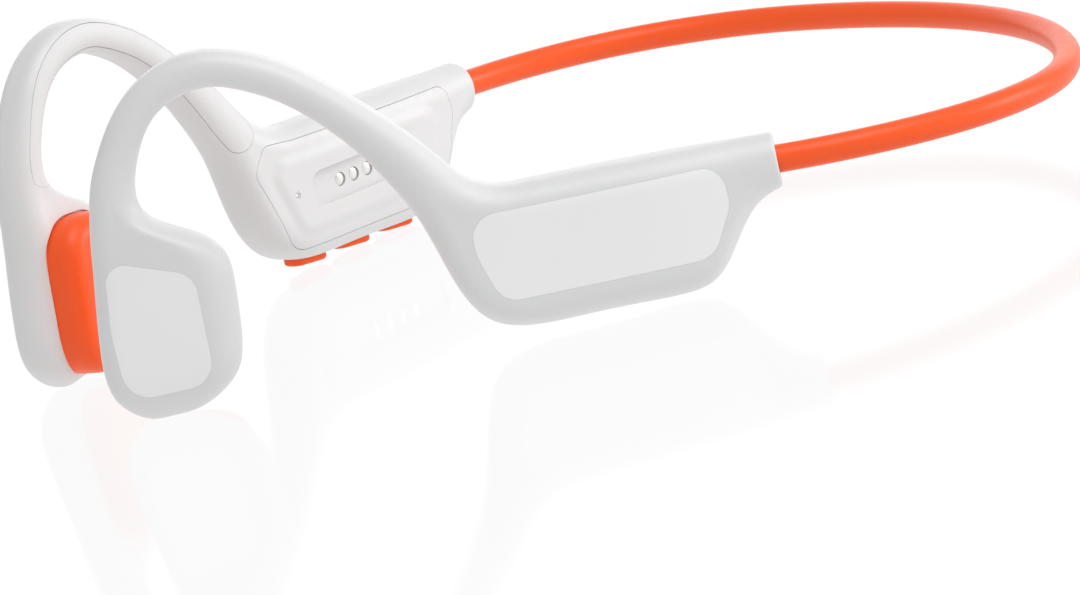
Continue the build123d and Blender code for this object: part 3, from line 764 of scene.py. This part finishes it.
def looped_rings(verts, rows):
    """Faces through rings of points whose last ring joins the first again."""
    columns = len(verts) // rows
    i, j = np.meshgrid(np.arange(rows), np.arange(columns), indexing="ij")
    a, b = i * columns + j, i * columns + (j + 1) % columns
    count = rows * columns
    faces = np.stack([a, b, (b + columns) % count, (a + columns) % count], -1)
    faces = faces.reshape(-1, 4).tolist()
    if volume(verts, faces) < 0:
        faces = [face[::-1] for face in faces]
    return verts, faces


# ---- soft and moving pieces of the unit -------------------------------------------
def pad():
    """The silicone pad: straight in its socket, round at its rim, crowned on its face."""
    low, top = POD_FACE - PAD_SOCKET, POD_FACE + PAD_PROUD
    rim, crown = 2.6, 0.3
    stops = [(low - PAD_ROOT, 0.6), (low - PAD_ROOT, 0.1), (low, 0.0), (low + 0.4, 0.0)]
    stops += [(depth, 0.0) for depth in np.linspace(low + 0.8, top - crown - rim, 6)]
    for turn in np.radians(np.linspace(7, 84, 14)):
        stops.append((top - crown - rim + rim * math.sin(turn), rim * (1 - math.cos(turn))))
    rings = []
    for depth, inset in stops:
        forward, up = softened(rounded(PAD_OUTLINE, -inset)).T
        rings.append(pod_point(forward, up, depth))
    forward, up = softened(rounded(PAD_OUTLINE, -rim)).T
    middle = np.array([forward.mean(), up.mean()])
    for share in np.linspace(0.0, 0.97, 16)[1:]:
        flat = middle + (np.stack([forward, up], 1) - middle) * (1 - share)
        rings.append(pod_point(*flat.T, top - crown + crown * math.sin(share * math.pi / 2)))
    return closed_rings(rings)


def key_cap(spot):
    """One button: a long rounded key, thin in front, with a soft rim and a hollow face."""
    bottom = POD_BOTTOM_Z - BUTTON_PROUD
    rim, dish = 0.5, 0.12
    root, slot_mouth = -5.6, -6.2
    stops = [(0.0, root)]
    stops += [(0.0, height) for height in np.linspace(slot_mouth, bottom + rim, 5)]
    for turn in np.radians(np.linspace(15, 90, 7)):
        stops.append((rim * (1 - math.cos(turn)), bottom + rim * (1 - math.sin(turn))))
    rings = []
    for inset, height in stops:
        length, width = BUTTON_LENGTH - 2 * inset, BUTTON_WIDTH - 2 * inset
        x, y = rounded(rectangle(length, width, 1.3 - inset / 2)).T
        front = np.clip(0.5 - x / BUTTON_LENGTH, 0, 1)
        reach = (height - root) / (bottom - root)
        rings.append(rear_point(x + spot, y, height + KEY_SLOPE * front * reach))
    centre = rings[-1].mean(0)
    for share in (0.8, 0.6, 0.4, 0.2):
        rings.append(centre + (rings[len(stops) - 1] - centre) * share
                     + np.array([0, 0, dish * (1 - share)]))
    return closed_rings(rings)


def contact_pin(spot):
    """A spring contact: a shank with a chamfered, slightly domed head."""
    head = DOCK_FLOOR - 0.15
    shank = 0.8
    stops = [(head - 2.85, shank), (head - 0.25, shank), (head - 0.2, CONTACT_RADIUS),
             (head - 0.1, CONTACT_RADIUS), (head - 0.04, 0.84), (head, 0.6), (head + 0.04, 0.3)]
    run = rear_point(0, 1, 0) - rear_point(0, 0, 0)
    rings = [disc(rear_point(spot, depth, DOCK_MIDDLE[1]), run, radius)
             for depth, radius in stops]
    return closed_rings(rings)


def status_lens():
    """The light pipe in the status hole, with a domed end."""
    run = rear_point(0, 1, 0) - rear_point(0, 0, 0)
    face = REAR_FACE + PLATEAU - 0.14
    stops = [(2.2, STATUS_RADIUS), (face - 0.08, STATUS_RADIUS), (face - 0.02, STATUS_RADIUS * 0.8),
             (face, STATUS_RADIUS * 0.4)]
    rings = [disc(rear_point(STATUS_HOLE[0], depth, STATUS_HOLE[1]), run, radius)
             for depth, radius in stops]
    return closed_rings(rings)


# ---- from the unit's frame to the row frame ----------------------------------------
def settle(obj, side):
    """Move a mesh into the row frame; the right unit is a mirror image."""
    mesh = obj.data
    co = np.empty(len(mesh.vertices) * 3)
    mesh.vertices.foreach_get("co", co)
    mesh.vertices.foreach_set("co", place(co.reshape(-1, 3), side).ravel())
    if side == "right":
        mesh.flip_normals()
    mesh.update()
    return obj


class SkinShading:
    """The smooth normals of the uncut skin, given back to the pieces cut from it."""

    def __init__(self, side):
        points = place(SKIN.reshape(-1, 3), side).reshape(SKIN.shape)
        around = np.roll(points, -1, 1) - np.roll(points, 1, 1)
        normals = np.cross(around, np.gradient(points, axis=0)).reshape(-1, 3)
        normals /= np.maximum(np.linalg.norm(normals, axis=1), 1e-12)[:, None]
        self.points = points.reshape(-1, 3)
        centre = points.mean(1).repeat(SKIN.shape[1], 0)
        if np.mean(np.einsum("ij,ij->i", normals, self.points - centre)) < 0:
            normals = -normals
        self.normals = normals
        self.tree = KDTree(len(self.points))
        for index, point in enumerate(self.points):
            self.tree.insert(point, index)
        self.tree.balance()

    def at(self, point):
        """The skin's normal beside a point, and how far the point is off the skin."""
        total, nearest = np.zeros(3), None
        for _, index, distance in self.tree.find_n(point, 4):
            weight = 1 / (distance ** 2 + 1e-12)
            total += weight * self.normals[index]
            nearest = index if nearest is None else nearest
        normal = total / np.linalg.norm(total)
        return normal, abs((np.array(point) - self.points[nearest]) @ self.normals[nearest])

    def shade(self, obj):
        mesh = obj.data
        mesh.shade_smooth()
        found = [self.at(vertex.co) for vertex in mesh.vertices]
        normals = []
        for polygon in mesh.polygons:
            face = np.array(polygon.normal)
            for vertex in polygon.vertices:
                normal, off = found[vertex]
                on_skin = off < ON_SKIN and normal @ face > SKIN_AGREES
                normals.append(normal if on_skin else face)
        mesh.normals_split_custom_set(normals)


def shade_by_angle(obj, degrees):
    obj.data.shade_smooth()
    obj.data.set_sharp_from_angle(angle=math.radians(degrees))


# ---- materials -----------------------------------------------------------------------
def new_material(name):
    made = bpy.data.materials.new(name)
    made.use_nodes = True
    return made, made.node_tree.nodes, made.node_tree.links


def noise(nodes, links, place_socket, scale, detail=3.0):
    node = nodes.new("ShaderNodeTexNoise")
    node.inputs["Scale"].default_value = scale
    node.inputs["Detail"].default_value = detail
    links.new(place_socket, node.inputs["Vector"])
    return node.outputs["Fac"]


def spread(nodes, links, factor, low, high):
    node = nodes.new("ShaderNodeMapRange")
    node.inputs["From Min"].default_value = 0.3
    node.inputs["From Max"].default_value = 0.7
    node.inputs["To Min"].default_value = low
    node.inputs["To Max"].default_value = high
    links.new(factor, node.inputs["Value"])
    return node.outputs["Result"]


def finish_of(name, colour, roughness, grain=0.00025, relief=0.000004, shade=0.03,
              metallic=0.0, specular=0.5, coat=0.0, subsurface=0.0):
    """A moulded, cast or rolled surface: fine grain, soft tone and gloss variation.

    grain is the size of the surface's texture and relief its height, in metres."""
    made, nodes, links = new_material(name)
    shader = nodes["Principled BSDF"]
    shader.inputs["Metallic"].default_value = metallic
    shader.inputs["Specular IOR Level"].default_value = specular
    shader.inputs["Coat Weight"].default_value = coat
    if subsurface:
        shader.inputs["Subsurface Weight"].default_value = subsurface
        shader.inputs["Subsurface Scale"].default_value = 0.001
    spot = nodes.new("ShaderNodeTexCoord").outputs["Object"]
    tone = nodes.new("ShaderNodeMix")
    tone.data_type = "RGBA"
    tone.inputs["A"].default_value = (*[part * (1 - shade) for part in colour], 1)
    tone.inputs["B"].default_value = (*[min(part * (1 + shade), 1) for part in colour], 1)
    links.new(noise(nodes, links, spot, 60), tone.inputs["Factor"])
    links.new(tone.outputs["Result"], shader.inputs["Base Color"])
    gloss = noise(nodes, links, spot, 900)
    links.new(spread(nodes, links, gloss, roughness * 0.9, roughness * 1.1),
              shader.inputs["Roughness"])
    bump = nodes.new("ShaderNodeBump")
    bump.inputs["Distance"].default_value = relief
    bump.inputs["Strength"].default_value = 1.0
    links.new(noise(nodes, links, spot, 1 / grain, 2.0), bump.inputs["Height"])
    links.new(bump.outputs["Normal"], shader.inputs["Normal"])
    return made


def floor_finish():
    """A bright, faintly glossy table top."""
    made, nodes, links = new_material("studio_floor")
    nodes.remove(nodes["Principled BSDF"])
    glow = nodes.new("ShaderNodeEmission")
    glow.inputs["Strength"].default_value = 1.0
    gloss = nodes.new("ShaderNodeBsdfGlossy")
    gloss.inputs["Roughness"].default_value = FLOOR_ROUGHNESS
    mix = nodes.new("ShaderNodeMixShader")
    mix.inputs["Fac"].default_value = FLOOR_GLOSS
    links.new(glow.outputs[0], mix.inputs[1])
    links.new(gloss.outputs[0], mix.inputs[2])
    links.new(mix.outputs[0], nodes["Material Output"].inputs["Surface"])
    return made


FINISHES = {
    "shell_white": finish_of("shell_white", (0.70, 0.70, 0.702), 0.42, subsurface=0.08),
    "inlay_grey": finish_of("inlay_grey", (0.84, 0.84, 0.84), 0.6, shade=0.015,
                            specular=0.3),
    "liner_white": finish_of("liner_white", (0.71, 0.705, 0.705), 0.62, relief=0.000007),
    "orange_silicone": finish_of("orange_silicone", (0.93, 0.10, 0.014), 0.38, specular=0.32,
                                 relief=0.000003),
    "orange_button": finish_of("orange_button", (0.9, 0.098, 0.014), 0.42, specular=0.25),
    "black_plastic": finish_of("black_plastic", (0.02, 0.02, 0.022), 0.45),
    "copper": finish_of("copper", (0.72, 0.29, 0.14), 0.3, metallic=1.0),
    "spring_steel": finish_of("spring_steel", (0.62, 0.62, 0.63), 0.28, metallic=1.0),
    "soft_iron": finish_of("soft_iron", (0.42, 0.41, 0.4), 0.4, metallic=1.0),
    "magnet_nickel": finish_of("magnet_nickel", (0.72, 0.7, 0.66), 0.18, metallic=1.0),
    "titanium": finish_of("titanium", (0.5, 0.48, 0.46), 0.33, metallic=1.0),
    "cable_black": finish_of("cable_black", (0.025, 0.025, 0.027), 0.55),
    "battery_foil": finish_of("battery_foil", (0.66, 0.67, 0.69), 0.3, metallic=1.0,
                              relief=0.00002, grain=0.0012),
    "circuit_board": finish_of("circuit_board", (0.02, 0.13, 0.05), 0.4, coat=0.3),
    "contact_gold": finish_of("contact_gold", (0.74, 0.73, 0.71), 0.35, metallic=1.0),
    "clear_lens": finish_of("clear_lens", (0.85, 0.85, 0.85), 0.2, coat=0.5),
}


def dress(obj, slot):
    obj.data.materials.clear()
    obj.data.materials.append(FINISHES[slot])


# ---- build ------------------------------------------------------------------------
def build_unit(side, pieces, shading):
    slots = {"shell": "shell_white", "rear_cover": "shell_white", "hook_liner": "liner_white",
             "front_inlay": "inlay_grey", "rear_inlay": "inlay_grey"}
    for name, obj in pieces.items():
        node = f"{side}_{name}"
        obj.name = f"{node}_skin"
        settle(obj, side)
        shading.shade(obj)
        dress(obj, slots[name])
        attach(obj, f"{side}_side")
        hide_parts(node)
    soft = settle(new_mesh(f"{side}_pad", *pad()), side)
    shade_by_angle(soft, SHARP)
    dress(soft, "orange_silicone")
    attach(soft, f"{side}_side")
    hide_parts(f"{side}_transducer_pad")


def build_buttons():
    for name, spot in zip(("volume_down", "power", "volume_up"), BUTTON_SPOTS):
        key = settle(new_mesh(f"{name}_key", *key_cap(spot)), "right")
        shade_by_angle(key, SHARP)
        dress(key, "orange_button")
        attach(key, f"{name}_button")
        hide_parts(f"{name}_button")


def build_contacts():
    for index, spot in enumerate(CONTACT_SPOTS, 1):
        pin = settle(new_mesh(f"contact_pin_{index}", *contact_pin(spot)), "right")
        shade_by_angle(pin, PIN_SHARP)
        dress(pin, "contact_gold")
        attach(pin, "right_side")
        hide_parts("charging_contacts")


def build_status_lens():
    lens = settle(new_mesh("status_light_lens", *status_lens()), "right")
    shade_by_angle(lens, SHARP)
    dress(lens, "clear_lens")
    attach(lens, "right_side")
    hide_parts("status_lens")


def build_neckband():
    for side, sign in (("left", 1), ("right", -1)):
        for name, slot, nodes, sizes in (
            ("sleeve", "orange_silicone", (f"{side}_neckband_side", "neckband_rear"),
             (TUBE_RADIUS, TUBE_BORE, 0.0)),
            ("wire", "titanium", ("neckband_wire",), (BAND_WIRE_RADIUS, 0.0, WIRE_LIFT)),
            ("cable", "cable_black", ("neckband_cable",), (BAND_CABLE_RADIUS, 0.0, CABLE_LIFT)),
        ):
            obj = band_half(f"{side}_band_{name}", side, *sizes)
            shade_by_angle(obj, SHARP)
            dress(obj, slot)
            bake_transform(obj)
            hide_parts(*nodes)


def dress_cad_nodes():
    """Every CAD node that still shows keeps its shape and gets its finish."""
    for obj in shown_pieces():
        if "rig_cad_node" in obj and not obj.hide_render:
            for slot in obj.material_slots:
                name = slot.material.name.split(".")[0]
                if name in FINISHES and slot.material is not FINISHES[name]:
                    slot.material = FINISHES[name]


def studio():
    world = bpy.data.worlds.new("studio")
    world.use_nodes = True
    world.node_tree.nodes["Background"].inputs["Color"].default_value = (1, 1, 1, 1)
    world.node_tree.nodes["Background"].inputs["Strength"].default_value = WORLD_LIGHT
    bpy.context.scene.world = world
    bpy.context.scene.view_settings.view_transform = "Standard"
    table = new_mesh("studio_floor", [(-3, -3, 0), (3, -3, 0), (3, 3, 0), (-3, 3, 0)],
                     [(0, 1, 2, 3)])
    table.data.materials.append(floor_finish())
    table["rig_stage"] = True
    aim = Vector((0, 0, 0.02))
    for name, spot, size, power in SOFTBOXES:
        data = bpy.data.lights.new(name, "AREA")
        data.shape = "RECTANGLE"
        data.size, data.size_y = size
        data.energy = power
        lamp = bpy.data.objects.new(name, data)
        lamp.location = spot
        lamp.rotation_euler = (aim - Vector(spot)).to_track_quat("-Z", "Y").to_euler()
        bpy.context.scene.collection.objects.link(lamp)


def camera():
    """The camera looks past the left unit's outside, slightly from above, and is rolled."""
    turn, rise = CAMERA_TURN, CAMERA_RISE
    back = Vector((math.cos(turn) * math.cos(rise), -math.sin(turn) * math.cos(rise),
                   math.sin(rise)))
    right = Vector((math.sin(turn), math.cos(turn), 0))
    up = back.cross(right)
    eye = Vector(CAMERA_AIM) + CAMERA_DISTANCE * back
    lean = Matrix.Rotation(-CAMERA_LEAN, 3, "X")
    spot = (lean @ eye + Vector((0, -FOOTPRINT_MIDDLE_Y, FLOOR_DROP))) * MM
    axes = Matrix([lean @ right, lean @ up, lean @ back]).transposed()
    data = bpy.data.cameras.new("camera")
    data.lens = CAMERA_LENS
    data.sensor_width = SENSOR_WIDTH
    data.clip_end = 20
    obj = bpy.data.objects.new("camera", data)
    obj.matrix_world = Matrix.Translation(spot) @ axes.to_4x4()
    bpy.context.scene.collection.objects.link(obj)
    bpy.context.scene.camera = obj


camera()
studio()
LEFT = cut_unit()
RIGHT = {name: copy_of(obj, name) for name, obj in LEFT.items()}
cut_right_unit(RIGHT)
build_unit("left", LEFT, SkinShading("left"))
build_unit("right", RIGHT, SkinShading("right"))
build_buttons()
build_contacts()
build_status_lens()
build_neckband()
dress_cad_nodes()
